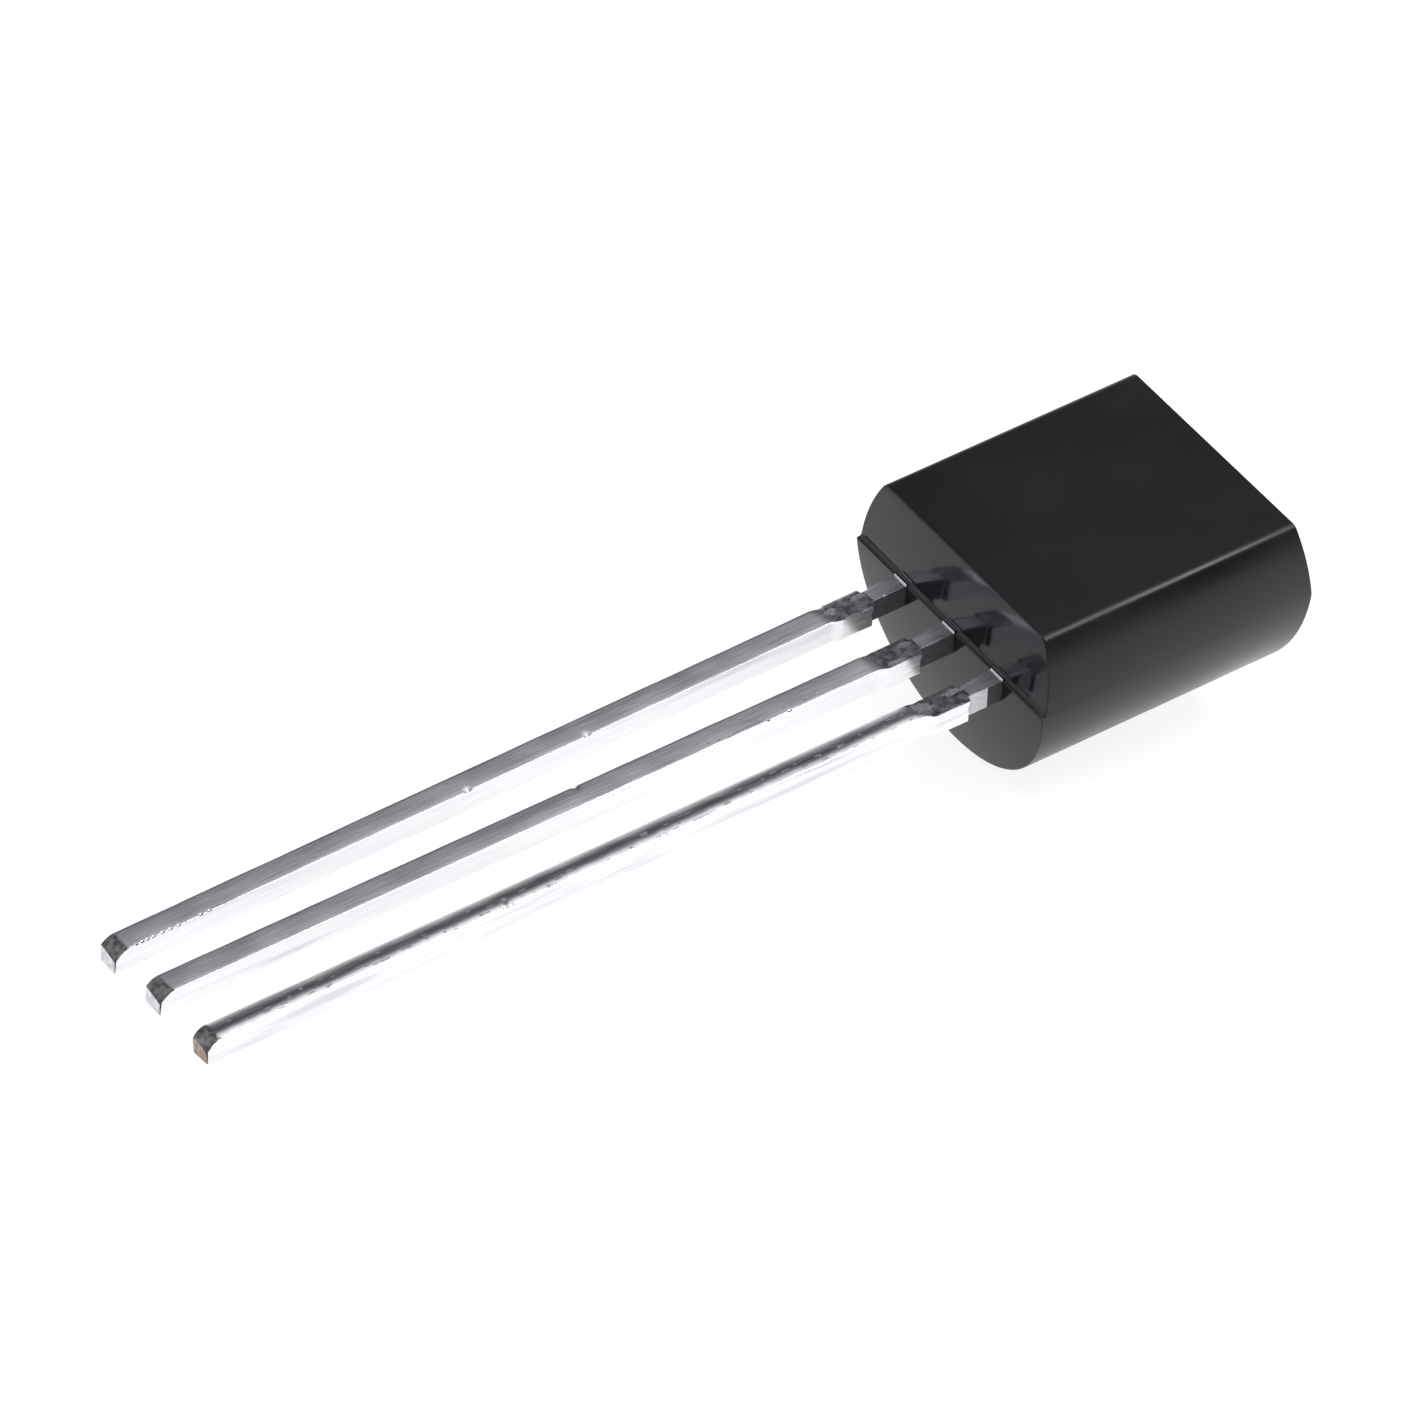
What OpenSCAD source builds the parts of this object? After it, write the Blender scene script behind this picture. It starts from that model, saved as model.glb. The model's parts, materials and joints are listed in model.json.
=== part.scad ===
// Small-signal transistor: three leads and a chip moulded into a D-shaped epoxy body.
//
// The pieces are drawn in the package's own axes. X runs along the leads from their tips
// to the head, Z points out of the flat, and the origin is where the middle lead's upper
// face leaves the body, on the plane where the two halves of the mould met.
// lie_down() turns them into the part's frame, in which the transistor lies as it comes to
// rest: on the back edge of its lead end and on the three lead tips, with the flat upwards.
// There Z = 0 is the surface that it lies on, and the origin is under the middle of its box.

/* [Moulded body] */
// Length of the body along the leads, where the mould halves met
body_l = 5.15; // [4.3:0.05:6.2]
// Width of the body, which is the diameter of its rounded back
body_w = 4.88; // [4.4:0.02:5.9]
// Height of the flat above the mould's parting plane
flat_h = 1.26; // [1.04:0.01:1.58]
// Rounding of the two long edges of the flat
flat_edge_r = 0.15; // [0.05:0.01:0.3]
// Draft of both ends above the parting plane, in degrees
draft_upper = 7; // [3:0.5:12]
// Draft of both ends below the parting plane, in degrees
draft_lower = 6; // [3:0.5:12]
// How far the lower half stands out past the upper half at the lead end
mould_step = 0.08; // [0.01:0.01:0.12]

/* [Leads outside the body] */
// Distance between the middles of neighbouring leads
pitch = 1.27; // [1.1:0.01:1.5]
// Width of a lead
lead_w = 0.42; // [0.35:0.01:0.55]
// Thickness of the sheet that the leads are stamped from
lead_t = 0.42; // [0.34:0.01:0.55]
// Length of the leads outside the body
lead_l = 14.6; // [12:0.02:17.52]
// Width of the narrow neck next to the body
neck_w = 0.32; // [0.24:0.01:0.34]
// Length of the neck outside the body
neck_l = 0.65; // [0.5:0.01:0.8]
// Width across the stubs left where the tie bar was cut away
stub_w = 0.52; // [0.42:0.01:0.65]
// Length of the stubs along the lead
stub_l = 0.6; // [0.4:0.01:0.75]
// Length of the taper from the stubs to the lead
taper_l = 0.2; // [0.1:0.01:0.35]
// Radius rolled over by the shear on the upper edge of each tip
tip_r = 0.13; // [0.05:0.01:0.2]
// Sideways lean of the emitter lead towards the middle one, in degrees
emitter_lean = 0.7; // [0:0.1:1]

/* [Leads inside the body] */
// Depth in the body at which the posts of the two outer leads begin
post_x = 0.8; // [0.6:0.01:0.9]
// Length of a post along the lead
post_l = 0.9; // [0.6:0.01:1]
// Width of a post
post_w = 0.9; // [0.6:0.01:1]
// Clear distance between the posts and the paddle that follows them
post_to_paddle = 0.25; // [0.15:0.01:0.3]
// Length of the paddle that carries the chip
paddle_l = 1.7; // [1.2:0.05:1.8]
// Width of the paddle
paddle_w = 1.8; // [1.2:0.05:2.2]

/* [Chip and wires] */
// Side of the square silicon chip
die_w = 0.5; // [0.4:0.01:0.8]
// Thickness of the chip
die_t = 0.2; // [0.15:0.01:0.28]
// Rim of the bonding layer that shows around the chip
attach_rim = 0.04; // [0.02:0.01:0.1]
// Thickness of the layer that bonds the chip to the paddle
attach_t = 0.03; // [0.02:0.01:0.05]
// Diameter of the bond wires
wire_d = 0.05; // [0.04:0.005:0.06]
// Height of a wire's arch above the line between its two ends
wire_rise = 0.35; // [0.25:0.01:0.4]
// Diameter of the flattened wire end on the chip and on the post
bond_d = 0.12; // [0.11:0.01:0.15]
// Thickness of the flattened wire end
bond_t = 0.05; // [0.045:0.005:0.06]
// Distance of each bond pad from the middle of the chip, across the leads
pad_y = 0.12; // [0.09:0.01:0.14]

/* [Hidden] */
$fn = 96;

back_r = body_w / 2;
reach = body_w; // more than any section of the body reaches from its axis

// The flat meets the rounded side in an arc that touches both.
edge_z = flat_h - flat_edge_r;
edge_y = sqrt(pow(back_r - flat_edge_r, 2) - pow(edge_z, 2));
edge_touch_z = edge_z * back_r / (back_r - flat_edge_r);

// Setback of each end face over the height of its mould half.
upper_setback = flat_h * tan(draft_upper);
lower_setback = back_r * tan(draft_lower);

// Distances along a lead, from the body outwards.
stub_end = neck_l + stub_l;
shaft_start = stub_end + taper_l;

// Places inside the body.
paddle_x = post_x + post_l + post_to_paddle;
die_x = paddle_x + paddle_l / 2;
die_top = attach_t + die_t;
post_mid_x = post_x + post_l / 2;

// The angle at which the transistor lies on its back edge and lead tips.
rest_tilt = atan((back_r - lead_t) / (lead_l + lower_setback));
floor_z = -lead_l * sin(rest_tilt) - lead_t * cos(rest_tilt);
tip_end_x = (tip_r - lead_l) * cos(rest_tilt) + tip_r * sin(rest_tilt) - tip_r;
head_end_x = (body_l - lower_setback) * cos(rest_tilt) + back_r * sin(rest_tilt);

// Turns the package's axes into the frame of the part at rest.
module lie_down() {
    translate([-(tip_end_x + head_end_x) / 2, 0, -floor_z])
        rotate([0, -rest_tilt, 0])
            children();
}

// Stands a section drawn in X = across, Y = up along the package's X axis.
module along_leads(length) {
    rotate([90, 0, 90])
        linear_extrude(height = length)
            children();
}

// Draws a side view in X = along, Y = up, as wide as asked, centred on the leads' axis.
module across_leads(width) {
    translate([0, width / 2, 0])
        rotate([90, 0, 0])
            linear_extrude(height = width)
                children();
}

// Section across the body: a circle cut by the flat, with both corners rounded.
module d_section() {
    intersection() {
        circle(r = back_r);
        translate([-reach, -reach])
            square([2 * reach, reach + edge_touch_z]);
    }
    translate([-edge_y, 0])
        square([2 * edge_y, flat_h]);
    for (side = [-1, 1])
        translate([side * edge_y, edge_z])
            circle(r = flat_edge_r);
}

// Side view of the body: both mould halves taper away from the parting plane.
module end_drafts() {
    polygon([
        [0, 0],
        [mould_step, 0],
        [mould_step + upper_setback, flat_h],
        [body_l - upper_setback, flat_h],
        [body_l, 0],
        [body_l - lower_setback, -back_r],
        [lower_setback, -back_r]
    ]);
}

module body_outside() {
    intersection() {
        along_leads(body_l)
            d_section();
        across_leads(2 * reach)
            end_drafts();
    }
}

// Side view of a lead: the shear has rolled over the upper edge of its tip.
module lead_side(inner_end) {
    translate([tip_r - lead_l, -lead_t])
        square([inner_end + lead_l - tip_r, lead_t]);
    translate([-lead_l, -lead_t])
        square([2 * tip_r, lead_t - tip_r]);
    translate([tip_r - lead_l, -tip_r])
        circle(r = tip_r);
}

// A straight stretch of lead, seen from above.
module strip(from, to, width) {
    translate([from, -width / 2])
        square([to - from, width]);
}

// The stretch from the body to where the lead has its plain width.
module lead_root(inner_end) {
    strip(-neck_l, inner_end, neck_w);
    strip(-stub_end, -neck_l, stub_w);
    polygon([
        [-stub_end, stub_w / 2],
        [-shaft_start, lead_w / 2],
        [-shaft_start, -lead_w / 2],
        [-stub_end, -stub_w / 2]
    ]);
}

// One lead with the shape given as its child at its inner end.
module stamped_lead(inner_end, lean) {
    intersection() {
        across_leads(2 * reach)
            lead_side(inner_end);
        translate([0, 0, -lead_t])
            linear_extrude(height = lead_t) {
                lead_root(inner_end);
                translate([-shaft_start, 0])
                    rotate(lean)
                        strip(-lead_l, taper_l / 2, lead_w);
                children();
            }
    }
}

module outer_lead(side, lean) {
    translate([0, side * pitch, 0])
        stamped_lead(post_x + post_l, lean)
            strip(post_x, post_x + post_l, post_w);
}

module middle_lead() {
    stamped_lead(paddle_x + paddle_l, 0)
        strip(paddle_x, paddle_x + paddle_l, paddle_w);
}

// A square plate standing at a height on the middle of the paddle.
module plate(width, bottom, thickness) {
    translate([die_x - width / 2, -width / 2, bottom])
        cube([width, width, thickness]);
}

module bond_layer() {
    plate(die_w + 2 * attach_rim, 0, attach_t);
}

module chip() {
    plate(die_w, attach_t, die_t);
}

// The flattened end of a bond wire, standing on a pad or a post.
module bond(place, height) {
    translate([place[0], place[1], height])
        cylinder(h = bond_t, d = bond_d, $fn = 32);
}

// A bond wire: one arc in an upright plane, from the chip to the post on one side.
module bond_wire(side) {
    pad = [die_x, side * pad_y];
    post = [post_mid_x, side * pitch];
    run = norm(post - pad);
    chord = norm([run, die_top]);
    arc_r = pow(chord, 2) / (8 * wire_rise) + wire_rise / 2;
    half_arc = asin(chord / (2 * arc_r));
    bond(pad, die_top);
    bond(post, 0);
    translate([pad[0], pad[1], die_top + bond_t / 2])
        rotate([0, 0, atan2(post[1] - pad[1], post[0] - pad[0])])
            rotate([0, atan(die_top / run), 0])
                translate([chord / 2, 0, wire_rise - arc_r])
                    rotate([90, 0, 0])
                        rotate([0, 0, 90 - half_arc])
                            rotate_extrude(angle = 2 * half_arc)
                                translate([arc_r, 0])
                                    circle(d = wire_d, $fn = 24);
}

module moulded_body() {
    color("#2a2a2b")
        lie_down()
            difference() {
                body_outside();
                outer_lead(1, emitter_lean);
                middle_lead();
                outer_lead(-1, 0);
                bond_layer();
                chip();
                bond_wire(1);
                bond_wire(-1);
            }
}

module emitter_lead() {
    color("#c6c8cc")
        lie_down()
            outer_lead(1, emitter_lean);
}

module collector_lead() {
    color("#c6c8cc")
        lie_down()
            middle_lead();
}

module base_lead() {
    color("#c6c8cc")
        lie_down()
            outer_lead(-1, 0);
}

module die_attach() {
    color("#a3a4a8")
        lie_down()
            bond_layer();
}

module silicon_die() {
    color("#5d6675")
        lie_down()
            chip();
}

module emitter_wire() {
    color("#d8b25a")
        lie_down()
            bond_wire(1);
}

module base_wire() {
    color("#d8b25a")
        lie_down()
            bond_wire(-1);
}

moulded_body();
emitter_lead();
collector_lead();
base_lead();
die_attach();
silicon_die();
emitter_wire();
base_wire();
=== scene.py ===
# %% [markdown]
# # A small transistor, from its lead tips to its epoxy
#
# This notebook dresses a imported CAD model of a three-lead transistor in Blender. The real
# thing is a stamped and tinned copper lead frame with a chip on it, and black epoxy moulded
# around the chip. What the eye gets from it is simple: mirror-bright metal against a dark,
# glossy body. Almost all of the work is therefore in edges and reflections.

# %% Load the frame
import json
import math

import bmesh
import bpy
from mathutils import Matrix, Vector, noise


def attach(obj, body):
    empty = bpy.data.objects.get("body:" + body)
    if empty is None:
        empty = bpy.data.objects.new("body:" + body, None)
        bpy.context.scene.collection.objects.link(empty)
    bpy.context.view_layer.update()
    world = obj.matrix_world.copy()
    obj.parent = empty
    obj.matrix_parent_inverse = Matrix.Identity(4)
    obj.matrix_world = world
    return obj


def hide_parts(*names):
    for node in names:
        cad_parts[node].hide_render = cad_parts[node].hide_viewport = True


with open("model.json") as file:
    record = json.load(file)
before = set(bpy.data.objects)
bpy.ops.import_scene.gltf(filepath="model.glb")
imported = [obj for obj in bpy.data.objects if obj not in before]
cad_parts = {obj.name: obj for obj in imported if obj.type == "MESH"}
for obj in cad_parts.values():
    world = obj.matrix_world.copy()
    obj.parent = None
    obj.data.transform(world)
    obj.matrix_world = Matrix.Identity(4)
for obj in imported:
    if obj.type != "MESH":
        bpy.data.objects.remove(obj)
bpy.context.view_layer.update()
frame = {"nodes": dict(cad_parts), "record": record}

print("nodes:", sorted(frame["nodes"]))

# %% [markdown]
# ## The package's own axes
#
# The transistor lies tilted, on the back edge of its body and on its lead tips. Modelling in
# tilted axes would be awkward, so every shape below is drawn straight, in millimetres: X
# runs from the lead tips to the head, Z points out of the flat, and the origin is where the
# middle lead's upper face leaves the body. One matrix then turns millimetres in those axes
# into metres in the frame. Two mounts of the record give it: the flat's normal is Z, the
# leads' direction is -X, and the lead mount marks the middle of the middle lead's tip.

# %% From package millimetres to frame metres
LEAD_T = 0.42    # thickness of the stamped sheet
LEAD_L = 14.6    # length of a lead outside the body
MM = 0.001       # metres in a millimetre

mounts = {mount["name"]: mount for mount in frame["record"]["mounts"]}
axis_z = Vector(mounts["flat"]["axis"]).normalized()
axis_x = -Vector(mounts["lead_row"]["axis"]).normalized()
axis_y = axis_z.cross(axis_x)
turn = Matrix((axis_x, axis_y, axis_z)).transposed()
tip_middle = Vector((-LEAD_L, 0, -LEAD_T / 2))
origin = Vector(mounts["lead_row"]["pos_m"]) - turn @ tip_middle * MM
to_frame = Matrix.Translation(origin) @ (turn * MM).to_4x4()
TILT = math.asin(axis_x.z)
print("tilt at rest:", round(math.degrees(TILT), 2), "degrees")

# %% [markdown]
# ## The camera
#
# A long lens from about twenty centimetres away looks down at the flat, across the near
# side, so that the three leads run to the lower left. It is set by what one would note down
# at a camera stand: where it aims, from which side and how high, how far away, and how much
# the camera is rolled. The direction goes through a quaternion, and the roll comes last.

# %% Camera
AIM = Vector((0.41, 0.30, 2.0)) * MM
AZIMUTH, ELEVATION, ROLL = (math.radians(angle) for angle in (-41.64, 38.22, 10.39))
DISTANCE = 196.4 * MM

toward = Vector((math.sin(AZIMUTH) * math.cos(ELEVATION),
                 -math.cos(AZIMUTH) * math.cos(ELEVATION),
                 math.sin(ELEVATION)))
lens = bpy.data.cameras.new("long_lens")
lens.lens = 328
lens.sensor_width = 36
lens.clip_start = 10 * MM
lens.clip_end = 3
camera = bpy.data.objects.new("camera", lens)
camera.location = AIM + toward * DISTANCE
upright = (-toward).to_track_quat("-Z", "Y")
camera.rotation_mode = "QUATERNION"
camera.rotation_quaternion = upright @ Matrix.Rotation(ROLL, 4, "Z").to_quaternion()
bpy.context.scene.collection.objects.link(camera)
bpy.context.scene.camera = camera
bpy.context.scene.view_settings.view_transform = "Standard"
print("camera at", [round(1000 * value) for value in camera.location], "mm")

# %% [markdown]
# ## Helpers for materials
#
# Colours are written as sRGB hex values, as a paint chart gives them, and one function turns
# them into the linear values that shaders need. `node` adds any shader node, sets its
# properties and input values, and links what is passed as a socket. Nothing else is needed
# to write a whole material as a list of calls.

# %% Colour and node helpers
def linear(code):
    """An sRGB hex colour such as #c8c9cc as linear RGBA."""
    shares = [int(code[i:i + 2], 16) / 255 for i in (1, 3, 5)]
    return [s / 12.92 if s <= 0.04045 else ((s + 0.055) / 1.055) ** 2.4 for s in shares] + [1]


def node(tree, kind, settings=None, **inputs):
    """Adds a node; settings are its properties, inputs are values or sockets to link."""
    made = tree.nodes.new(kind)
    for key, value in (settings or {}).items():
        setattr(made, key, value)
    for key, value in inputs.items():
        place = int(key[1:]) if key[0] == "_" else key.replace("_", " ")
        if isinstance(value, bpy.types.NodeSocket):
            tree.links.new(value, made.inputs[place])
        else:
            made.inputs[place].default_value = value
    return made


def new_material(name):
    """An empty node material with its output; returns the material, its tree and a finisher."""
    material = bpy.data.materials.new(name)
    material.use_nodes = True
    tree = material.node_tree
    tree.nodes.clear()
    output = tree.nodes.new("ShaderNodeOutputMaterial")

    def finish(shader):
        tree.links.new(shader.outputs[0], output.inputs["Surface"])
        return material
    return material, tree, finish


def waves(tree, place, size_mm, detail=2.0, stretch=(1, 1, 1)):
    """Noise with blotches about size_mm wide, stretched along the package's axes as asked."""
    sizes = [size_mm * MM * along for along in stretch]
    mapped = node(tree, "ShaderNodeMapping", {"vector_type": "TEXTURE"}, Vector=place,
                  Rotation=(0, -TILT, 0), Scale=sizes)
    return node(tree, "ShaderNodeTexNoise", Vector=mapped.outputs[0], Scale=1.0,
                Detail=detail).outputs[0]


def between(tree, share, low, high, start=0.0, end=1.0):
    """Maps a share from start..end to low..high."""
    return node(tree, "ShaderNodeMapRange", _0=share, _1=start, _2=end, _3=low,
                _4=high).outputs[0]


def blend_colours(tree, share, *stops):
    """A colour that runs through (position, hex colour) stops as the share goes up."""
    ramp = node(tree, "ShaderNodeValToRGB", _0=share)
    steps = ramp.color_ramp.elements
    while len(steps) < len(stops):
        steps.new(1.0)
    for step, (position, code) in zip(steps, stops):
        step.position = position
        step.color = linear(code)
    return ramp.outputs[0]


print("mid grey #808080 in linear light:", round(linear("#808080")[0], 3))

# %% [markdown]
# ## Black moulding epoxy
#
# The body is epoxy filled with silica flour and soot, pressed into a polished steel mould.
# It is nearly black, and what shows is its skin. Clear epoxy has an IOR of about 1.55, but so
# much filler lies in this skin that it reflects less, and the values below are lower. The
# mould's end walls are polished best, because the body has to slide out along them, so the
# lead end mirrors the leads. The flat and the round side are a little softer. Faint
# blotches, where filler lies closer to the skin, break up the flat.

# %% Epoxy materials
def moulded_epoxy(name, gloss, ior, low, middle, high, grain_um, tint="#ffffff"):
    """Silica-filled black epoxy; gloss is its mean roughness, grain_um the height of its skin."""
    material, tree, finish = new_material(name)
    place = node(tree, "ShaderNodeTexCoord").outputs["Object"]
    blotches = waves(tree, place, 1.5, detail=3.0)
    filler = waves(tree, place, 0.03, detail=2.0)
    colour = blend_colours(tree, blotches, (0.35, low), (0.5, middle), (0.65, high))
    rough = between(tree, blotches, gloss * 0.85, gloss * 1.2, 0.3, 0.7)
    skin = node(tree, "ShaderNodeBump", Height=filler, Strength=0.15,
                Distance=grain_um * MM * MM)
    return finish(node(tree, "ShaderNodeBsdfPrincipled", Base_Color=colour, Roughness=rough,
                       IOR=ior, Specular_Tint=linear(tint), Normal=skin.outputs[0]))


EPOXY = {
    "flat": moulded_epoxy("black_epoxy_flat", 0.3, 1.43, "#0f0b09", "#0b0a0a", "#0d0d13", 3.0),
    "side": moulded_epoxy("black_epoxy_round_side", 0.3, 1.43,
                          "#0c0c0c", "#101012", "#141418", 3.0),
    "end": moulded_epoxy("black_epoxy_polished_end", 0.1, 1.38,
                         "#130f13", "#131317", "#16161b", 1.5, "#f2ecf8"),
    "edge": moulded_epoxy("black_epoxy_worn_edge", 0.36, 1.45,
                          "#0c0c0c", "#101012", "#141418", 3.0),
    "low_end": moulded_epoxy("black_epoxy_lower_end", 0.16, 1.27,
                             "#100d10", "#101014", "#131318", 1.5, "#f2ecf8"),
    # lighter than the body's epoxy: painted light in the shaded corner behind the step
    "corner": moulded_epoxy("resin_in_the_corner_painted_light", 0.6, 1.4,
                            "#2b282a", "#323033", "#373539", 4.0),
}
print("epoxy finishes:", list(EPOXY))

# %% [markdown]
# ## Tin plating
#
# The leads are copper alloy, dipped or plated with about ten micrometres of tin. Fresh tin
# is one of the whitest metals, and it keeps the rolling marks of the sheet under it: fine
# streaks along the lead, a few darker smears, and shallow dimples. It is drawn as a metal
# with streaked roughness. Where the shear has cut the tips, the copper shows through.

# %% Tin and copper materials
def tin_plate(name, dull, relief_um, metallic, *tones):
    """Tin over rolled copper alloy: mean roughness, height of the streaks, share of bare metal."""
    material, tree, finish = new_material(name)
    place = node(tree, "ShaderNodeTexCoord").outputs["Object"]
    streaks = waves(tree, place, 0.04, detail=3.0, stretch=(14, 1, 1))
    clouds = waves(tree, place, 0.2, detail=3.0, stretch=(14, 1, 1))
    dimples = waves(tree, place, 0.12, detail=3.0, stretch=(2.5, 1, 1))
    colour = blend_colours(tree, clouds, *zip((0.3, 0.4, 0.5, 0.65), tones))
    rough = between(tree, streaks, dull * 0.7, dull * 1.5, 0.3, 0.7)
    heights = node(tree, "ShaderNodeMath", {"operation": "ADD"}, _0=streaks, _1=dimples)
    skin = node(tree, "ShaderNodeBump", Height=heights.outputs[0], Strength=0.4,
                Distance=relief_um * MM * MM)
    return finish(node(tree, "ShaderNodeBsdfPrincipled", Base_Color=colour,
                       Metallic=metallic, Roughness=rough, Normal=skin.outputs[0]))


def sheared_metal(name, low, high, rough):
    """The torn, streaky face that a shear leaves."""
    material, tree, finish = new_material(name)
    place = node(tree, "ShaderNodeTexCoord").outputs["Object"]
    tears = waves(tree, place, 0.03, detail=3.0, stretch=(1, 1, 5))
    colour = blend_colours(tree, tears, (0.35, low), (0.65, high))
    skin = node(tree, "ShaderNodeBump", Height=tears, Strength=0.5, Distance=0.006 * MM)
    return finish(node(tree, "ShaderNodeBsdfPrincipled", Base_Color=colour, Metallic=1.0,
                       Roughness=rough, Normal=skin.outputs[0]))


def plain_finish(name, low, high, size_mm, metallic, rough):
    """A plain finish: two close tones in blotches of a given size."""
    material, tree, finish = new_material(name)
    place = node(tree, "ShaderNodeTexCoord").outputs["Object"]
    colour = blend_colours(tree, waves(tree, place, size_mm), (0.3, low), (0.7, high))
    return finish(node(tree, "ShaderNodeBsdfPrincipled", Base_Color=colour,
                       Metallic=metallic, Roughness=rough))


TIN = tin_plate("tin_plate", 0.14, 3.0, 1.0, "#d9d9e0", "#ececf0", "#f2f2f4", "#edebf3")
SHEARED_TIN = sheared_metal("sheared_tin", "#b9b8bf", "#e4e3ea", 0.3)
SHEARED_COPPER = sheared_metal("sheared_copper", "#7c695b", "#b5a394", 0.35)
# stained copper at the root, darkened further as painted shade in the gap behind the step
COPPER_STAINED_AND_SHADED = sheared_metal("copper_stained_and_painted_shade", "#3a2e2a", "#5c5250", 0.4)
# a darker strip along the tip's near upright corner
DARK_TIP_LIP = sheared_metal("dark_lip_at_the_tip", "#3c3c40", "#5a5a5e", 0.4)
print("metals:", [m.name for m in (TIN, SHEARED_TIN, SHEARED_COPPER, COPPER_STAINED_AND_SHADED, DARK_TIP_LIP)])

# %% [markdown]
# ## Where the tin has been handled, and where light and shade are painted on it
#
# At each root the tin stops against the epoxy in a narrow rim. It is painted near-white and
# rough, a painted highlight that reads as a fine bright line from every side. Resin has bled
# over the neck, and a thin haze dulls its top. The neck's sides are painted dark, as painted
# shade and dark reflection, except for a stretch on the base lead that is painted bright. The
# punch that cut the tie bar has bruised the stubs. A few lighter spots on them are painted
# reflections, and scratches further out take the same finish. The top of each tip is painted
# dark, a painted dark reflection of its rolled-over end. Each of these is its own finish,
# because what changes is how much bare metal there is, not only its colour.

# %% Hazed and bruised tin, and tin painted lighter or darker
HAZED = tin_plate("tin_hazed_by_resin", 0.3, 1.8, 0.78, "#9c9ca4", "#aeaeb6", "#b4b4bc", "#c0c0c8")
BRUISED = plain_finish("tin_bruised_by_the_shear", "#4a4a55", "#9c9ca6", 0.12, 0.8, 0.34)
# lighter tin for scratches, and for spots that are painted reflections
TIN_SCRATCHED_AND_PAINTED_LIGHT = plain_finish("tin_scratched_and_painted_light", "#8c8c94", "#b8b8c0", 0.05, 0.7, 0.3)
# dark tin on the tip's top: a painted dark reflection
TIP_PAINTED_DARK = plain_finish("tip_tin_painted_dark", "#202023", "#6a6a6a", 0.09, 0.15, 0.4)
# dark on the neck's sides: painted shade and painted dark reflection
NECK_SIDES_PAINTED_DARK = plain_finish("neck_sides_painted_dark", "#343236", "#454347", 0.1, 0.0, 0.35)
# near-white and matt: a painted highlight, bright from every side
TIN_PAINTED_BRIGHT = plain_finish("tin_rim_painted_bright", "#c8c6ca", "#e6e5ea", 0.05, 0.2, 0.6)
print("tin finishes:", [m.name for m in (HAZED, BRUISED, TIN_SCRATCHED_AND_PAINTED_LIGHT, TIP_PAINTED_DARK, NECK_SIDES_PAINTED_DARK, TIN_PAINTED_BRIGHT)])

# %% [markdown]
# ## The pieces inside
#
# The chip, the alloy under it and the two gold wires can't be seen through the epoxy, but
# someone may open the body up, so they get what they are made of too. Their CAD shapes are
# right as they stand, and only the material is put on.

# %% Chip, bonding layer and wires
GOLD = plain_finish("drawn_gold_wire", "#d9a94a", "#e8c46c", 0.05, 1.0, 0.2)
inside = {
    "silicon_die": plain_finish("polished_silicon", "#4c5563", "#6a7688", 0.2, 1.0, 0.12),
    "die_attach": plain_finish("bonding_alloy", "#8f9095", "#b3b4b8", 0.1, 1.0, 0.45),
    "emitter_wire": GOLD,
    "base_wire": GOLD,
}
for name, material in inside.items():
    shape = frame["nodes"][name].data
    shape.materials.clear()
    shape.materials.append(material)
print("dressed inside:", sorted(inside))

# %% [markdown]
# ## Turning a drawn shape into a piece
#
# Every new piece is drawn as a `bmesh` in package millimetres. `finish_piece` places it,
# gives it its materials, smooths it where faces meet at a shallow angle, hides the CAD node it
# stands for and hangs it on the root body.

# %% Piece helper
def finish_piece(drawn, name, stands_for, materials, smooth_degrees=35):
    """Places a bmesh drawn in package millimetres, hides the CAD part it stands for and hangs it
    on the root body.
    """
    bmesh.ops.recalc_face_normals(drawn, faces=drawn.faces)
    shape = bpy.data.meshes.new(name)
    drawn.to_mesh(shape)
    drawn.free()
    shape.transform(to_frame)
    for material in materials:
        shape.materials.append(material)
    shape.shade_smooth()
    shape.set_sharp_from_angle(angle=math.radians(smooth_degrees))
    piece = bpy.data.objects.new(name, shape)
    bpy.context.scene.collection.objects.link(piece)
    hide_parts(stands_for)
    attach(piece, "root")
    print(name, "has", len(shape.polygons), "faces")
    return piece


# %% [markdown]
# ## The body
#
# In section the body is a circle cut by the flat, with two small arcs where they meet. Along
# the leads each mould half tapers to its ends, so that it leaves the mould. The lower half
# stands out a little at the lead end, because the halves never close quite in line, and
# resin fills the corner behind that step. The body could be cut from primitives with
# booleans and bevelled. Here its faces are written out ring by ring instead, because then
# every edge gets exactly the radius it needs: soft along the flat, nearly crisp at the ends.

# %% Body sizes
BODY_L, BODY_W, FLAT_H = 5.15, 4.88, 1.26
FLAT_EDGE_R = 0.15
DRAFT_UPPER, DRAFT_LOWER = math.tan(math.radians(7)), math.tan(math.radians(6))
MOULD_STEP = 0.08     # how far the upper half stands back
STEP_FILLET = 0.055   # resin in the corner behind the step
LIP_R = 0.012         # rounding of the step's lip
END_R = 0.022         # rounding of the edges at both ends
BACK_R = BODY_W / 2
BODY_FINISHES = ("flat", "side", "end", "edge", "corner", "low_end")
FLAT, SIDE, END, EDGE, CORNER, LOW_END = range(len(BODY_FINISHES))
print("body depth:", round(BACK_R + FLAT_H, 2), "mm")


def arc(start, end, count):
    """Evenly spaced angles in radians."""
    return [start + (end - start) * i / count for i in range(count + 1)]


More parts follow.
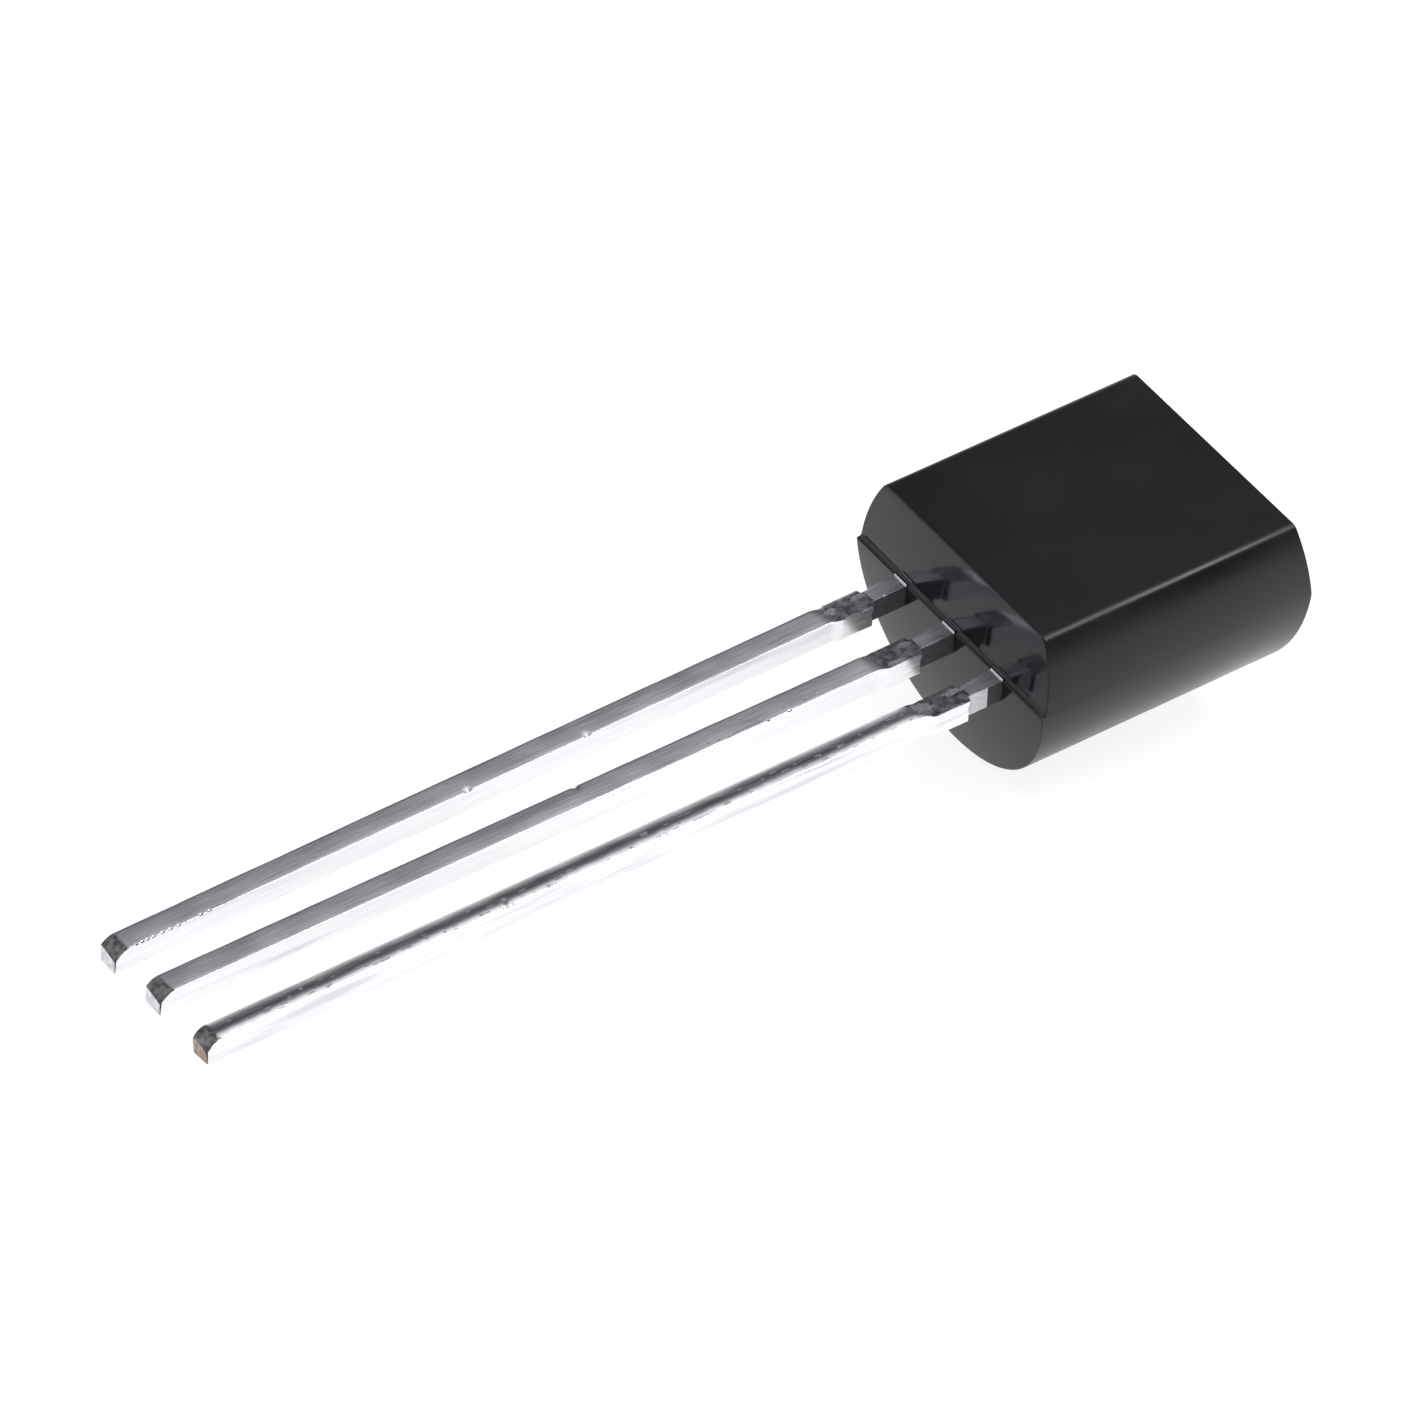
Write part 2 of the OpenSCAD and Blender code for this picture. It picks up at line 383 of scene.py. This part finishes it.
def upper_near_face(z):
    """X of the upper half's lead-end face at a height: the fillet in the corner, then draft."""
    rise = STEP_FILLET
    if z < STEP_FILLET:
        rise = math.sqrt(STEP_FILLET ** 2 - (STEP_FILLET - z) ** 2)
    return MOULD_STEP - STEP_FILLET + rise + z * DRAFT_UPPER


def lower_near_face(z):
    """X of the lower half's lead-end face at a height: the rounded lip, then draft."""
    lip = LIP_R - math.sqrt(LIP_R ** 2 - (z + LIP_R) ** 2) if z > -LIP_R else 0.0
    return lip - z * DRAFT_LOWER


def far_face(z):
    """X of the head face at a height."""
    return BODY_L - z * DRAFT_UPPER if z > 0 else BODY_L + z * DRAFT_LOWER


# %% Section of the body
ROWS = 6              # rows of faces across the step's fillet or its lip
EDGE_ROWS = 12        # rows across the rounded edge of the flat
SIDE_ROWS = 24        # rows from the parting plane up to that edge
BACK_ROWS = 48        # rows from the parting plane down to the middle of the back
edge_z = FLAT_H - FLAT_EDGE_R
edge_y = math.sqrt((BACK_R - FLAT_EDGE_R) ** 2 - edge_z ** 2)
touch = math.atan2(edge_z, edge_y)


def on_circle(angle):
    """Point and outward normal on the round back, as (y, z, ny, nz)."""
    return (BACK_R * math.cos(angle), BACK_R * math.sin(angle), math.cos(angle), math.sin(angle))


def on_edge(angle):
    """Point and outward normal on the small arc beside the flat."""
    return (edge_y + FLAT_EDGE_R * math.cos(angle), edge_z + FLAT_EDGE_R * math.sin(angle),
            math.cos(angle), math.sin(angle))


def mirrored(chain):
    """The same points on the other side."""
    return [(-y, z, -ny, nz) for y, z, ny, nz in chain]


quarter = arc(0, math.pi / 2, ROWS)
low_angles = [math.asin(STEP_FILLET * (1 - math.cos(a)) / BACK_R) for a in quarter]
side_angles = low_angles + arc(low_angles[-1], touch, SIDE_ROWS)[1:]
upper_right = [on_circle(a) for a in side_angles]
upper_right += [on_edge(a) for a in arc(touch, math.pi / 2, EDGE_ROWS)[1:]]
upper_section = upper_right + mirrored(upper_right)[::-1]
lip_angles = [-math.asin(LIP_R * (1 - math.cos(a)) / BACK_R) for a in quarter]
back_angles = lip_angles + arc(lip_angles[-1], -math.pi / 2, BACK_ROWS)[1:]
lower_right = [on_circle(a) for a in back_angles]
lower_section = mirrored(lower_right[:-1]) + lower_right[::-1]
print("points in the section:", len(upper_section) + len(lower_section))

# %% Rings and end caps
body = bmesh.new()
EDGE_STEPS = 4        # rows across the rounding of an end


def rounded_end(section, face_x, inward):
    """Rings that turn the corner from the side to an end face, the side's ring first."""
    rings = []
    for turned in arc(0, math.pi / 2, EDGE_STEPS):
        inset = END_R * (1 - math.cos(turned))
        back = END_R * (1 - math.sin(turned))
        points = [(y - ny * inset, z - nz * inset) for y, z, ny, nz in section]
        rings.append([body.verts.new((face_x(z) + inward * back, y, z)) for y, z in points])
    return rings


def strip(first, second, material_index):
    """Quads between two rings of equal length."""
    for i in range(len(first) - 1):
        corners = (first[i], first[i + 1], second[i + 1], second[i])
        body.faces.new(corners).material_index = material_index


def cap(chain, rows, material_index):
    """Closes an open chain: rows of quads next to the parting plane, one face for the rest."""
    for i in range(rows):
        corners = (chain[i], chain[i + 1], chain[-2 - i], chain[-1 - i])
        body.faces.new(corners).material_index = CORNER
    body.faces.new(chain[rows:len(chain) - rows]).material_index = material_index


upper_rings = rounded_end(upper_section, upper_near_face, 1)
lower_rings = rounded_end(lower_section, lower_near_face, 1)
outline = upper_section + lower_section[1:-1]
far_rings = rounded_end(outline, far_face, -1)
for rings in (upper_rings, lower_rings):
    for first, second in zip(rings, rings[1:]):
        strip(first, second, END)
for first, second in zip(far_rings, far_rings[1:]):
    strip(first + first[:1], second + second[:1], END)
cap(upper_rings[-1], ROWS, END)
cap(lower_rings[-1], ROWS, LOW_END)
split = len(upper_section) - 1
far_inner = far_rings[-1]
cap(far_inner[:split + 1], 0, END)
cap(far_inner[split:] + far_inner[:1], 0, LOW_END)
print("faces of the two ends:", len(body.faces))

# %% Long faces and the step
far_side = far_rings[0]
flat_at = len(upper_right) - 1
for i in range(split):
    corners = (upper_rings[0][i], upper_rings[0][i + 1], far_side[i + 1], far_side[i])
    if i == flat_at:
        part = FLAT
    elif abs(i - flat_at) <= EDGE_ROWS:
        part = EDGE
    else:
        part = SIDE
    body.faces.new(corners).material_index = part
lower_far = far_side[split:] + far_side[:1]
lower_side = lower_rings[0]
last = len(lower_side) - 2
for i in range(last + 1):
    corners = [lower_side[i], lower_side[i + 1], lower_far[i + 1], lower_far[i]]
    if i == 0:
        corners.append(upper_rings[0][-1])
    if i == last:
        corners.insert(2, upper_rings[0][0])
    body.faces.new(corners).material_index = SIDE
ledge = [ring[-1] for ring in reversed(lower_rings)] + [ring[0] for ring in upper_rings]
ledge += [ring[-1] for ring in reversed(upper_rings)] + [ring[0] for ring in lower_rings]
body.faces.new(ledge).material_index = CORNER
finish_piece(body, "epoxy_body", "moulded_body",
             [EPOXY[finish] for finish in BODY_FINISHES], smooth_degrees=40)

# %% [markdown]
# ## The leads
#
# A lead is stamped from sheet, so its section is a square with unlike corners: the punch
# rolls the far upper edge over and leaves the near one sharp, and the plating rounds the
# lower two a little. Next to the body it is narrow, then come the stubs of the tie bar that
# held the leads together during moulding, and the tip is rolled over by the last shear. A
# bevelled box can't show any of this. So the lead is swept: at each of many stations along
# it, functions say how wide, how high and how round the section is, and each station becomes
# a ring of vertices. The stations lie close together where the finish or the shape changes,
# so that a border between two finishes can follow the edge of a face.

# %% Lead sizes
PITCH = 1.27
LEAD_W = 0.42
NECK_W, NECK_L = 0.32, 0.65
STUB_W, STUB_L, TAPER_L = 0.52, 0.6, 0.2
POST_X, POST_L, POST_W = 0.8, 0.9, 0.9
PADDLE_X, PADDLE_L, PADDLE_W = 1.95, 1.7, 1.8
SHOULDER = 0.03       # length of the step from neck to stub at the upper face
TORN = 0.06           # length of the same step further down, where it tore
ROOT_STEP = 0.03      # the untinned root stands this much higher than the tinned neck
ROOT_SINK = 0.04      # and further inside the body it drops by this much
STAIN_AND_SHADE_L = 0.12        # length of stained copper at the root, darkened further as painted shade, up to where the epoxy hides it
TIP_DROP, TIP_ROLL = 0.19, 0.27   # how far the shear bends the tip down, over what length
TIP_CURL = 0.2        # length over which it draws the sides in
DARK_TIP_L = 0.85 * TIP_ROLL         # length of the tip's top that is painted dark, a painted dark reflection
DARK_LIP_L = 0.012        # length of the darker strip at the tip's near upright corner
RIM_W = 0.024         # width of the rim where the tin ends, painted near-white as a highlight
STUB_END = NECK_L + STUB_L
SHAFT_START = STUB_END + TAPER_L
print("plain shaft from", round(SHAFT_START, 2), "to", LEAD_L, "mm outside the body")


def ease(value, start, end):
    """0 before start, 1 after end, and a smooth step between."""
    share = min(max((value - start) / (end - start), 0), 1)
    return share * share * (3 - 2 * share)


def quarter_fall(past, length, depth):
    """How far a quarter ellipse has fallen a distance past its start."""
    share = min(max(past / length, 0), 1)
    return depth * (1 - math.sqrt(1 - share * share))


def half_width(s, low, foot):
    """Half the lead's width at s outside the body; low is 0 on the top and 1 at the bottom."""
    if s < 0:
        foot_start, _, foot_width = foot
        swell = ease(-s, foot_start - SHOULDER, foot_start)
        return (NECK_W + (foot_width - NECK_W) * swell) / 2
    slope = SHOULDER + (TORN - SHOULDER) * ease(low, 0.15, 0.5)
    stub = ease(s, NECK_L - SHOULDER / 2, NECK_L - SHOULDER / 2 + slope)
    taper = ease(s, STUB_END, SHAFT_START)
    return (NECK_W + (STUB_W - NECK_W) * stub - (STUB_W - LEAD_W) * taper) / 2


# %% Stations along a lead
CLOSEST = 0.002       # stations closer than this to the one before are dropped


def spread(start, end, step):
    """Evenly spaced values from start up to, but not including, end."""
    count = max(1, round((end - start) / step))
    return [start + (end - start) * i / count for i in range(count)]


def stations(foot, marks, length):
    """Distances from the body's end, dense where the lead's shape changes."""
    foot_start, foot_end, _ = foot
    # where each stretch begins, and how far apart its stations are
    stretches = [(-foot_end, 0.3), (-foot_start, 0.01), (SHOULDER - foot_start, 0.2),
                 (-0.04, 0.004), (0.03, 0.02), (NECK_L - SHOULDER, 0.006),
                 (NECK_L + SHOULDER, 0.015), (SHAFT_START + 0.15, 0.06),
                 (length - TIP_ROLL - 0.02, 0.015), (length - 0.1, 0.006), (length, 0)]
    stops = [s for (start, step), (end, _) in zip(stretches, stretches[1:])
             for s in spread(start, end, step)]
    stops += [mark[0] + 0.02 * i for mark in marks for i in range(-5, 6)]
    kept = [length]
    for s in sorted(stops, reverse=True):
        if kept[-1] - s > CLOSEST:
            kept.append(s)
    return kept[::-1]


post = (POST_X, POST_X + POST_L, POST_W)
paddle = (PADDLE_X, PADDLE_X + PADDLE_L, PADDLE_W)
print("stations on a plain lead:", len(stations(post, [], LEAD_L)))

# %% One ring of a lead
CORNER_STEPS = 6      # faces round a corner
SIDE_STEPS = 12       # faces along a side
LOWER_CORNERS = (0.12, 0.08)      # radii of the near and the far lower corner


def between_points(first, last):
    """The points that divide a straight side, without its ends."""
    shares = [i / SIDE_STEPS for i in range(1, SIDE_STEPS)]
    return [tuple(a + (b - a) * share for a, b in zip(first, last)) for share in shares]


def section_ring(radii):
    """A square from -1 to 1 with its own corner radii, as (y, z) points from the far top."""
    points = []
    for number, radius in enumerate(radii):
        centre_y = (1 - radius) * (1 if number in (0, 3) else -1)
        centre_z = (1 - radius) * (1 if number in (0, 1) else -1)
        start = number * math.pi / 2
        bend = [(centre_y + radius * math.cos(a), centre_z + radius * math.sin(a))
                for a in arc(start, start + math.pi / 2, CORNER_STEPS)]
        if points:
            points += between_points(points[-1], bend[0])
        points += bend
    return points + between_points(points[-1], points[0])


print("points round a lead:", len(section_ring([0.15, 0.02, *LOWER_CORNERS])))

# %% [markdown]
# ## Which finish goes where
#
# Worn and stained places on a lead, and places painted lighter or darker as light and shade,
# have borders, but no seams: it is one piece of metal. They could be painted as masks in one
# large material. Here each face picks its own finish from where it lies, because then every
# finish stays a plain material that can be changed by itself. The rules are tried in order,
# and the first that fits wins, so narrow places such as the bright rim come before wide ones.
# Noise moves some borders a little, because wear never ends in a straight line.

# %% Where each finish lies
BARE, CUT, STAIN_AND_SHADE, DARK_LIP, PAINTED_BRIGHT, HAZE, BRUISE, SCRATCH_AND_PAINTED_LIGHT, DARK_TIP, PAINTED_DARK_SIDE = range(10)
SCRATCHED = 0.36      # noise above this value is a scratch


def finish_at(s, across, up, look):
    """The finish at a place; across and up run from -1 to 1, and 1 is the far side and the top."""
    wander = 0.5 * noise.noise(Vector((s * 12, across * 3, look["seed"])))
    length = LEAD_L - look["short"]
    # the rim where the tin ends is painted near-white: a painted highlight
    if abs(s) <= RIM_W / 2 and up > 0.95:
        return PAINTED_BRIGHT
    # the root behind the step: stained copper, darkened as painted shade
    if -STAIN_AND_SHADE_L < s < 0:
        return STAIN_AND_SHADE
    # the neck's sides are painted dark as shade and dark reflection; along the bright stretch the
    # near side is painted near-white instead
    if 0 <= s < NECK_L - SHOULDER and up < 0.9 and abs(across) > 0.9:
        bright_from, bright_to = look["bright_stretch"]
        return PAINTED_BRIGHT if bright_from < s < bright_to and across < 0 else PAINTED_DARK_SIDE
    # the lighter spots on the stubs are painted reflections
    if 0 < s < SHAFT_START + 0.05 and up > 0.9:
        if any(math.hypot((s - at) / half_long, (across - side) / half_wide) + wander < 1
               for at, side, half_long, half_wide in look["painted_light_patches"]):
            return SCRATCH_AND_PAINTED_LIGHT
        if s < STUB_END + 0.08 + 0.2 * wander:
            return HAZE if s < NECK_L - 2 * SHOULDER else BRUISE
    # the top of the tip is painted dark, a painted dark reflection
    line = length - DARK_TIP_L + 0.08 * noise.noise(Vector((across * 2, look["seed"], 0)))
    if s > line and up > 0.9:
        return DARK_TIP
    if look["scuffed"][0] < s < look["scuffed"][1] and up > 0.98 and abs(across) < 0.75:
        scratch = noise.noise(Vector((s * 5, across * 6, 1.7 * look["seed"])))
        return SCRATCH_AND_PAINTED_LIGHT if scratch > SCRATCHED and across < look["soft"][1] + 0.3 else BARE
    # a darker strip along the tip's near upright corner
    if s > length - DARK_LIP_L - DARK_LIP_L * (1 + up) and across < -0.8:
        return DARK_LIP
    return BARE


print("finishes on a lead:", PAINTED_DARK_SIDE + 1)

# %% [markdown]
# ## The surface of a lead
#
# Plating is never flat. Long, low lumps bend what it mirrors, nicks from handling catch the
# light, and the metal where the tie bar was cut away slopes and is torn. A bump map would
# shade these, but would leave the outline straight. They are worked out as real heights
# instead, and taken off the upper face most and off the lower face not at all, so that the
# lead still lies flat.

# %% Uneven surface
MARK_L, MARK_W = 0.05, 0.3        # reach of a nick along the lead and across it
TORN_LUMP, PLATE_LUMP = 0.012, 0.006    # heights of the lumps where torn and on the plating
TORN_SLOPE = 0.03     # the torn stretch slopes down to its far side by twice this
TORN_CORNER = 0.35    # radius of its far upper corner
TORN_STARTS, TORN_ENDS = (0.1, 0.9), (1.2, 1.6)     # where it fades in and out
WORN_CORNER = 0.16    # how much rounder the near upper corner is in a glint


def sunk(s, across, up, look, seed, torn):
    """How far lumps, nicks and the torn stubs lower the surface at a place."""
    here = Vector((s, across / 5, up / 5))
    depth_here = noise.noise(Vector((s * 3, across, up)) + seed) * TORN_LUMP * torn
    depth_here += TORN_SLOPE * (1 + across) * torn
    depth_here += noise.noise(here * 1.8 + seed) * PLATE_LUMP * min(1, s * s)
    depth_here += sum(depth * math.exp(-((s - at) / MARK_L) ** 2 - ((across - side) / MARK_W) ** 2)
                      for at, side, depth in look["marks"])
    return depth_here


print("reach of a nick:", MARK_L, "mm each way along the lead")


# %% Outline of a lead at a station
def lead_outline(s, y, foot, look):
    """The points round the lead at s outside the body; y is where the lead's middle lies."""
    seed = Vector((look["seed"], 2.7 * look["seed"], 0))
    past = s - (LEAD_L - look["short"])
    rolled = min(max(past / TIP_ROLL + 1, 0), 1) ** 2
    curl = quarter_fall(past + TIP_CURL, TIP_CURL, 1)
    shaft = ease(s, STUB_END, SHAFT_START + 0.3)
    torn = ease(s, *TORN_STARTS) * (1 - ease(s, *TORN_ENDS))
    far, near = look["soft"]
    far += (TORN_CORNER - far) * torn + (look["curl"] - far) * curl
    near += (look["curl"] - near) * curl
    near += sum(WORN_CORNER * math.exp(-((s - at) / reach) ** 2) for at, reach in look["glints"])
    root = ROOT_STEP * ease(-s, 0, 0.006) - ROOT_SINK * ease(-s, 0.1, 0.15)
    shift = math.tan(look["lean"]) * max(0, s - SHAFT_START)
    turned = look["twist"] * shaft
    # a turned shaft is lifted, so that its lower edge stays within the sheet's thickness
    lift = 0.97 * abs(math.sin(turned)) * LEAD_W / 2
    points = []
    for across, up in section_ring([far, near, *LOWER_CORNERS]):
        low = (1 - up) / 2
        drop = TIP_DROP * rolled * (1 - look["slant"] * (1 + across) / 2)
        lump = sunk(s, across, up, look, seed, torn)
        ragged = look["ragged"] * abs(noise.noise(Vector((s * 9, 0, seed.x)))) * (across < 0)
        wide = half_width(s, low, foot) - look["pinch"] * curl
        wide -= ragged * shaft * (1 - low) ** 3
        sag = look["crown"][0] * across ** 2 if across > 0 else look["crown"][1] * -across ** 3
        height = LEAD_T - (drop + sag * shaft + lump - root) * (1 - low)
        py, pz = across * wide, -LEAD_T + height * (1 - low) + LEAD_T / 2
        ty = py * math.cos(turned) - pz * math.sin(turned)
        tz = py * math.sin(turned) + pz * math.cos(turned) + lift
        points.append((-s, y - shift + ty, tz - LEAD_T / 2))
    return points


print("width at the stubs:", round(2 * half_width(NECK_L + STUB_L / 2, 0, post), 2), "mm")

# %% Sweep of a lead
PLACES = section_ring([0.12, 0.12, *LOWER_CORNERS])     # where each face of a ring lies
print("faces round a lead:", len(PLACES))


def swept_lead(name, stands_for, y, foot, look):
    """Sweeps one lead; foot is where its post or paddle begins and ends, and its width."""
    drawn = bmesh.new()
    steps = stations(foot, look["marks"] + look["glints"], LEAD_L - look["short"])
    rings = [[drawn.verts.new(point) for point in lead_outline(s, y, foot, look)]
             for s in steps]
    for s, first, second in zip(steps, rings, rings[1:]):
        for i, (across, up) in enumerate(PLACES):
            j = (i + 1) % len(PLACES)
            face = drawn.faces.new((first[i], first[j], second[j], second[i]))
            face.material_index = finish_at(s, across, up, look)
    drawn.faces.new(rings[0])
    drawn.faces.new(rings[-1]).material_index = CUT
    return finish_piece(drawn, name, stands_for,
                        [TIN, look["cut"], COPPER_STAINED_AND_SHADED, DARK_TIP_LIP, TIN_PAINTED_BRIGHT, HAZED, BRUISED,
                         TIN_SCRATCHED_AND_PAINTED_LIGHT, TIP_PAINTED_DARK, NECK_SIDES_PAINTED_DARK])


# %% [markdown]
# ## What makes each lead different
#
# All three leads come from one function, and a small table of values sets each apart.
# Lengths are in millimetres. Places across a lead run from -1 at the near side to 1 at the
# far side, and corner radii are shares of half its width.
#
# - `seed` moves the noise, so that no two leads have the same lumps.
# - `lean` and `twist` are angles: the shaft leans sideways, and turns about its own line.
# - `soft` holds the radii of the far and the near upper corner, and `crown` how far the
#   upper face falls away towards each of them. `ragged` says how far the near one is torn.
# - `marks` are nicks: place along the lead, place across it, depth.
# - `glints` are the stretches where the near upper corner is worn round: place, length.
# - `painted_light_patches` are lighter spots painted on as reflections: place along, place
#   across, half length, half width.
# - `bright_stretch` is the stretch of the neck's near side that is painted near-white, as a
#   painted reflection, instead of dark, and `scuffed` the stretch of shaft with scratches.
# - At the tip, `short` is how much shorter the lead is than drawn, `slant` how much less the
#   far side drops, `curl` how round the corners become, `pinch` how far each side is drawn
#   in, and `cut` the metal that the cut shows.

# %% The three leads
straight = {"lean": 0, "twist": 0, "soft": (0.15, 0.02), "crown": (0.003, 0.003), "short": 0,
            "curl": 0.3, "pinch": 0.02, "slant": 0.45, "ragged": 0, "bright_stretch": (0, 0),
            "scuffed": (0, 0), "cut": SHEARED_TIN}
emitter = {**straight, "seed": 3.1, "lean": math.radians(0.7),
           "marks": [(6.0, -1.1, 0.024), (8.2, -1.1, 0.028)],
           "painted_light_patches": [(0.75, 0.6, 0.14, 0.2), (1.3, 0.3, 0.1, 0.3)],
           "short": 0.01,
           "glints": [(0.42, 0.04), (12.9, 0.03), (13.05, 0.03), (13.45, 0.03), (13.6, 0.03),
                      (13.74, 0.03), (13.9, 0.03), (14.01, 0.03), (14.1, 0.03), (14.2, 0.02)]}
collector = {**straight, "seed": 7.7, "marks": [(6.8, 1.1, 0.024)], "short": 0.09,
             "painted_light_patches": [(0.75, 0.6, 0.13, 0.2), (1.1, -0.6, 0.15, 0.2)],
             "scuffed": (2.4, 4.6),
             "glints": [(0.34, 0.02), (0.42, 0.02), (0.48, 0.02), (3.1, 0.03), (3.5, 0.02)]}
base = {**straight, "seed": 12.9, "twist": math.radians(-7), "soft": (0.12, 0.03),
        "crown": (0.019, 0.034), "curl": 0.5, "pinch": 0.03, "ragged": 0.05, "short": 0.09,
        "bright_stretch": (0.27, 0.6), "cut": SHEARED_COPPER, "marks": [(9.1, -0.4, 0.01)],
        "glints": [], "scuffed": (1.6, 14.2),
        "painted_light_patches": [(0.75, 0.6, 0.17, 0.25), (1.38, 0.4, 0.18, 0.5), (0.9, -0.85, 0.25, 0.12)]}
swept_lead("tinned_emitter_lead", "emitter_lead", PITCH, post, emitter)
swept_lead("tinned_collector_lead", "collector_lead", 0, paddle, collector)
swept_lead("tinned_base_lead", "base_lead", -PITCH, post, base)

# %% [markdown]
# ## Table and light
#
# Small shiny parts are often shown on a light table: a white sheet with light of its own,
# which fills the sides of the leads, brightens the body towards its lower edge, where the
# gloss is seen at a shallow angle, and keeps shadows pale. A soft box overhead draws the
# thin bright line along the flat's rounded edge.
#
# The room has two parts. Matt surfaces only need an even white fill. Mirrors show what is
# around them, so rays that leave a glossy surface see a dim room instead, with a few soft
# glows in it: a key light above, a backdrop behind the part, a card to the left, the near
# wall and the horizon. A studio does the same with black flags and white cards.

# %% Table
def light_table(glow, low, high):
    """White acrylic lit from below: most of its brightness is its own, so shadows stay pale."""
    material, tree, finish = new_material("light_table_acrylic")
    place = node(tree, "ShaderNodeTexCoord").outputs["Object"]
    colour = blend_colours(tree, waves(tree, place, 8.0), (0.3, low), (0.7, high))
    sheet = node(tree, "ShaderNodeBsdfDiffuse", Color=colour)
    lit = node(tree, "ShaderNodeEmission", Color=linear("#ffffff"), Strength=glow)
    return finish(node(tree, "ShaderNodeAddShader", _0=sheet.outputs[0], _1=lit.outputs[0]))


TABLE_SIDE = 1200 * MM
TABLE_GLOW = 0.86     # the sheet's own light, as a share of full white
table = bpy.data.meshes.new("table")
corner = TABLE_SIDE / 2
table.from_pydata([(-corner, -corner, 0), (corner, -corner, 0), (corner, corner, 0),
                   (-corner, corner, 0)], [], [(0, 1, 2, 3)])
table.materials.append(light_table(TABLE_GLOW, "#7e7e7e", "#828282"))
table_object = bpy.data.objects.new("table", table)
bpy.context.scene.collection.objects.link(table_object)
print("table:", round(TABLE_SIDE / MM), "mm square, at z = 0")


# %% Lights
def soft_box(name, place, aim, width, height, watts):
    """An area light at a place in millimetres, turned to face a point."""
    light = bpy.data.lights.new(name, "AREA")
    light.shape = "RECTANGLE"
    light.size, light.size_y = width * MM, height * MM
    light.energy = watts
    made = bpy.data.objects.new(name, light)
    made.location = Vector(place) * MM
    made.rotation_euler = (Vector(aim) - Vector(place)).to_track_quat("-Z", "Y").to_euler()
    made.visible_camera = False
    bpy.context.scene.collection.objects.link(made)


soft_box("overhead_box", (60, -45, 170), (0, 0, 0), 90, 90, 0.19)
print("lights:", [light.name for light in bpy.data.lights])


# %% Room
def studio_room(name, fill, *glows):
    """A dim room for reflections, the brightest of glows around directions, and an even fill."""
    world = bpy.data.worlds.new(name)
    world.use_nodes = True
    tree = world.node_tree
    tree.nodes.clear()
    way = node(tree, "ShaderNodeTexCoord").outputs["Generated"]
    brightest = None
    for direction, strength, stops in glows:
        near = node(tree, "ShaderNodeVectorMath", {"operation": "DOT_PRODUCT"}, _0=way,
                    _1=Vector(direction).normalized()).outputs["Value"]
        glow = node(tree, "ShaderNodeVectorMath", {"operation": "SCALE"}, Scale=strength,
                    _0=blend_colours(tree, near, *stops)).outputs[0]
        if brightest:
            glow = node(tree, "ShaderNodeVectorMath", {"operation": "MAXIMUM"}, _0=brightest,
                        _1=glow).outputs[0]
        brightest = glow
    room = node(tree, "ShaderNodeBackground", Color=brightest)
    even = node(tree, "ShaderNodeBackground", Color=linear("#ffffff"), Strength=fill)
    mirror_ray = node(tree, "ShaderNodeLightPath").outputs["Is Glossy Ray"]
    both = node(tree, "ShaderNodeMixShader", _0=mirror_ray, _1=even.outputs[0],
                _2=room.outputs[0])
    node(tree, "ShaderNodeOutputWorld", Surface=both.outputs[0])
    return world


KEY = [(0.0, "#202020"), (0.5, "#2c2c2d"), (0.66, "#3a3a3b"), (0.77, "#505052"),
       (0.87, "#949599"), (0.94, "#e0e0e2"), (1.0, "#ffffff")]
BACKDROP = [(0.84, "#202020"), (0.9, "#707072"), (0.93, "#a8a8aa"), (0.96, "#dcdcde"),
            (0.985, "#f8f8f8")]
LEFT_WALL = [(0.93, "#000000"), (0.985, "#ffffff")]
NEAR_WALL = [(0.6, "#202020"), (0.95, "#58585a")]
HORIZON = [(0.0, "#c8c8c8"), (0.05, "#8a8a8a"), (0.14, "#202020")]
bpy.context.scene.world = studio_room(
    "dim_studio", 0.9, ((0.35, 0.1, 0.93), 1, KEY), ((0.45, 0.89, 0.05), 1, BACKDROP),
    ((-0.66, 0.59, 0.47), 3, LEFT_WALL), ((0.45, -0.8, 0.4), 1, NEAR_WALL),
    ((0, 0, 1), 1, HORIZON))
print("the room is made of", len(bpy.context.scene.world.node_tree.nodes), "nodes")
